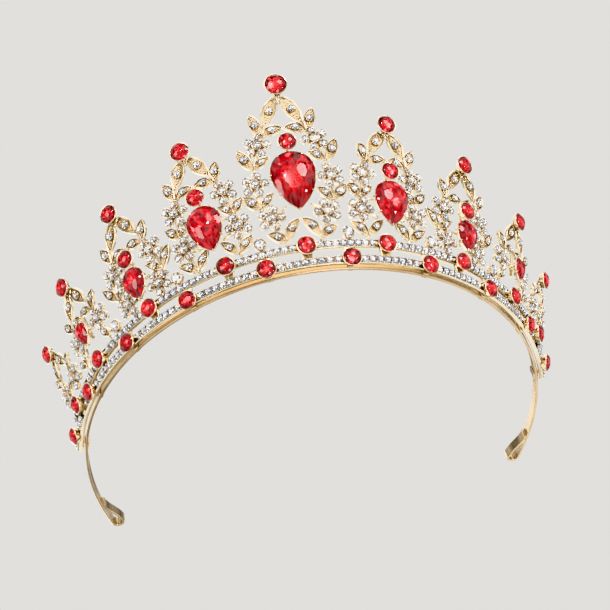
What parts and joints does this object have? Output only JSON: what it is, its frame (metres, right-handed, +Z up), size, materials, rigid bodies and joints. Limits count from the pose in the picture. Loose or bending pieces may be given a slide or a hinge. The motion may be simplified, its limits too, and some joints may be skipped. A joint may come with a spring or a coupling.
{
  "type": "tiara",
  "caption": "Dress tiara: a flat sprung headband with curled ends under a leaning front of leafy peaks, jewelled rails, and red and clear crystals.",
  "frame": {"origin": "centre of the whole tiara's outline on the surface it stands on: the middle of its width and depth, at the lowest point of the lower red stones' cups", "axes": "+Z up along the band's axis, -Y towards the crown front, +X towards the right arm seen from the front"},
  "size_m": [0.1552, 0.125, 0.0567],
  "materials": {
    "gold_strip": "polished champagne gold plate",
    "gold_cast": "bright cast champagne gold plate with fine beaded grain",
    "gold_setting": "polished champagne gold plate",
    "clear_crystal": "faceted, foil backed",
    "red_crystal": "faceted, foil backed"
  },
  "bodies": {
    "front": {"headband": "gold_strip", "left_end_clip": "gold_setting", "right_end_clip": "gold_setting", "band_clips": "gold_setting", "lower_rail": "gold_cast", "upper_rail": "gold_cast", "rail_links": "gold_cast", "lower_rail_crystals": "clear_crystal", "upper_rail_crystals": "clear_crystal", "lower_cups": "gold_setting", "lower_red_stones": "red_crystal", "upper_cups": "gold_setting", "upper_red_stones": "red_crystal", "foot_cups": "gold_setting", "foot_crystals": "clear_crystal", "left_peak_4_casting": "gold_cast", "left_peak_4_crystals": "clear_crystal", "left_peak_4_settings": "gold_setting", "left_peak_4_red_stones": "red_crystal", "left_peak_3_casting": "gold_cast", "left_peak_3_crystals": "clear_crystal", "left_peak_3_settings": "gold_setting", "left_peak_3_red_stones": "red_crystal", "left_peak_2_casting": "gold_cast", "left_peak_2_crystals": "clear_crystal", "left_peak_2_settings": "gold_setting", "left_peak_2_red_stones": "red_crystal", "left_peak_1_casting": "gold_cast", "left_peak_1_crystals": "clear_crystal", "left_peak_1_settings": "gold_setting", "left_peak_1_red_stones": "red_crystal", "centre_peak_casting": "gold_cast", "centre_peak_crystals": "clear_crystal", "centre_peak_settings": "gold_setting", "centre_peak_red_stones": "red_crystal", "right_peak_1_casting": "gold_cast", "right_peak_1_crystals": "clear_crystal", "right_peak_1_settings": "gold_setting", "right_peak_1_red_stones": "red_crystal", "right_peak_2_casting": "gold_cast", "right_peak_2_crystals": "clear_crystal", "right_peak_2_settings": "gold_setting", "right_peak_2_red_stones": "red_crystal", "right_peak_3_casting": "gold_cast", "right_peak_3_crystals": "clear_crystal", "right_peak_3_settings": "gold_setting", "right_peak_3_red_stones": "red_crystal", "right_peak_4_casting": "gold_cast", "right_peak_4_crystals": "clear_crystal", "right_peak_4_settings": "gold_setting", "right_peak_4_red_stones": "red_crystal"},
    "left_arm": {"left_arm": "gold_strip"},
    "right_arm": {"right_arm": "gold_strip"}
  },
  "joints": [
    {"name": "left_arm_flex", "type": "hinge", "parent": "front", "child": "left_arm", "pos_m": [-0.06872, 0.02381, 0.00331], "axis": [0, 0, 1], "range_deg": [-4, 12], "stiffness_Nm_per_rad": 1.2},
    {"name": "right_arm_flex", "type": "hinge", "parent": "front", "child": "right_arm", "pos_m": [0.06872, 0.02381, 0.00331], "axis": [0, 0, -1], "range_deg": [-4, 12], "stiffness_Nm_per_rad": 1.2}
  ]
}
